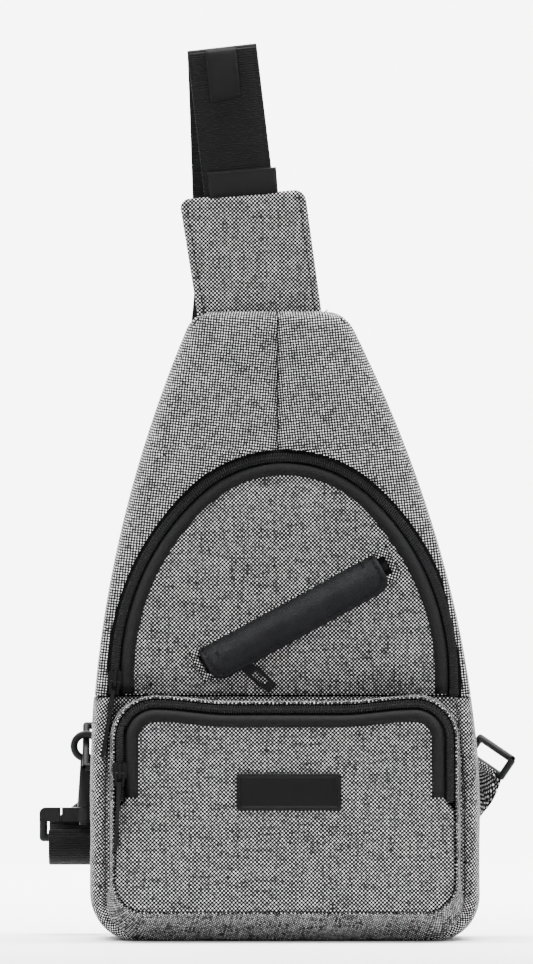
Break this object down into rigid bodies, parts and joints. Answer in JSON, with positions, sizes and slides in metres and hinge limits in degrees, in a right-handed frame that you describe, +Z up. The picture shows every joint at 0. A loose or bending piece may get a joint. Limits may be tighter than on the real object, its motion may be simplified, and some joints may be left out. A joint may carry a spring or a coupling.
{
  "type": "sling bag",
  "caption": "One-strap crossbody bag with an arched zip main compartment, a zip front pocket, a slanted zip pocket under a leather flap, webbing strap, snap hook and rings.",
  "frame": {"origin": "middle of the base, on the surface the bag stands on", "axes": "+Z up, +X to the right of someone facing the front, front towards -Y"},
  "size_m": [0.2594, 0.1154, 0.4861],
  "materials": {
    "tweed": "matte black and white basket weave",
    "mesh": "open spacer mesh",
    "lining": "thin plain weave",
    "board": "matte",
    "binding": "matte bias binding",
    "zip": "nylon coil and tape",
    "metal": "black enamel",
    "rubber": "matte moulded",
    "leather": "fine grain, low sheen",
    "webbing": "ribbed webbing",
    "label": "satin woven label, blank",
    "plastic": "moulded acetal"
  },
  "bodies": {
    "root": {"back_panel": "tweed", "back_mesh_pad": "mesh", "lower_gusset": "tweed", "lower_front": "tweed", "yoke_left": "tweed", "yoke_right": "tweed", "yoke_seam_tape": "lining", "lining": "lining", "base_board": "board", "main_zip_outer": "zip", "main_zip_stop": "metal", "pocket_gusset": "tweed", "pocket_panel_lower": "tweed", "pocket_zip_outer": "zip", "strap_tab": "tweed", "shoulder_strap": "webbing", "lower_label": "label", "top_label": "label", "hook_base": "plastic", "ring_left": "plastic", "ring_tab_left": "tweed", "ring_tab_right": "tweed"},
    "front_panel": {"front_panel": "tweed", "front_binding": "binding", "main_zip_inner": "zip", "slant_welt": "tweed", "slant_zip": "zip", "slant_pocket_bag": "lining"},
    "main_slider": {"main_slider": "metal"},
    "main_puller": {"main_puller": "metal"},
    "pocket_panel": {"pocket_panel": "tweed", "pocket_binding": "binding", "pocket_zip_inner": "zip", "rubber_patch": "rubber"},
    "pocket_slider": {"pocket_slider": "metal"},
    "pocket_puller": {"pocket_puller": "metal"},
    "slant_slider": {"slant_slider": "metal"},
    "slant_puller": {"slant_puller": "metal"},
    "leather_flap": {"leather_flap": "leather"},
    "hook_body": {"hook_body": "plastic", "gate_pin": "metal"},
    "hook_gate": {"hook_gate": "plastic"},
    "ring_right": {"ring_right": "plastic"},
    "strap_adjuster": {"strap_adjuster": "plastic"}
  },
  "joints": [
    {"name": "front_panel_fold", "type": "hinge", "parent": "root", "child": "front_panel", "pos_m": [0, -0.00382, 0.13181], "axis": [1, 0, 0], "range_deg": [0, 60]},
    {"name": "pocket_panel_fold", "type": "hinge", "parent": "root", "child": "pocket_panel", "pos_m": [0, -0.03181, 0.06795], "axis": [1, 0, 0], "range_deg": [0, 45]},
    {"name": "main_slider_travel", "type": "hinge", "parent": "root", "child": "main_slider", "pos_m": [0.0447, -0.0025, 0.14253], "axis": [0, 0.9925, -0.1219], "range_deg": [0, 44]},
    {"name": "main_puller_swing", "type": "hinge", "parent": "main_slider", "child": "main_puller", "pos_m": [-0.0918, -0.00537, 0.13925], "axis": [-0.9877, 0.0191, 0.1553], "range_deg": [0, 105]},
    {"name": "pocket_slider_travel", "type": "slide", "parent": "root", "child": "pocket_slider", "axis": [0, 0.1219, 0.9925], "range_m": [0, 0.018]},
    {"name": "pocket_puller_swing", "type": "hinge", "parent": "pocket_slider", "child": "pocket_puller", "pos_m": [-0.0888, -0.0315, 0.09058], "axis": [-0.9986, 0.0064, 0.0519], "range_deg": [0, 105]},
    {"name": "slant_slider_travel", "type": "slide", "parent": "front_panel", "child": "slant_slider", "axis": [0.8763, 0.0587, 0.4782], "range_m": [0, 0.08]},
    {"name": "slant_puller_swing", "type": "hinge", "parent": "slant_slider", "child": "slant_puller", "pos_m": [-0.03072, -0.00202, 0.15585], "axis": [0, -0.9925, 0.1219], "range_deg": [0, 20]},
    {"name": "flap_lift", "type": "hinge", "parent": "front_panel", "child": "leather_flap", "pos_m": [0.0008, 0.00064, 0.18161], "axis": [-0.8763, -0.0587, -0.4782], "range_deg": [0, 92]},
    {"name": "hook_swivel", "type": "hinge", "parent": "root", "child": "hook_body", "pos_m": [-0.1085, 0.052, 0.0658], "axis": [0, 0, 1], "range_deg": [-20, 20]},
    {"name": "gate_press", "type": "hinge", "parent": "hook_body", "child": "hook_gate", "pos_m": [-0.1036, 0.052, 0.088], "axis": [0, -1, 0], "range_deg": [0, 6], "stiffness_Nm_per_rad": 0.01, "springref_deg": -17.19},
    {"name": "right_ring_swing", "type": "hinge", "parent": "root", "child": "ring_right", "pos_m": [0.1092, 0.042, 0.0928], "axis": [-0.5733, 0.7254, 0.3809], "range_deg": [-25, 60]},
    {"name": "adjuster_slide", "type": "slide", "parent": "root", "child": "strap_adjuster", "axis": [-0.2136, 0.0802, -0.9736], "range_m": [-0.03, 0.12]}
  ]
}
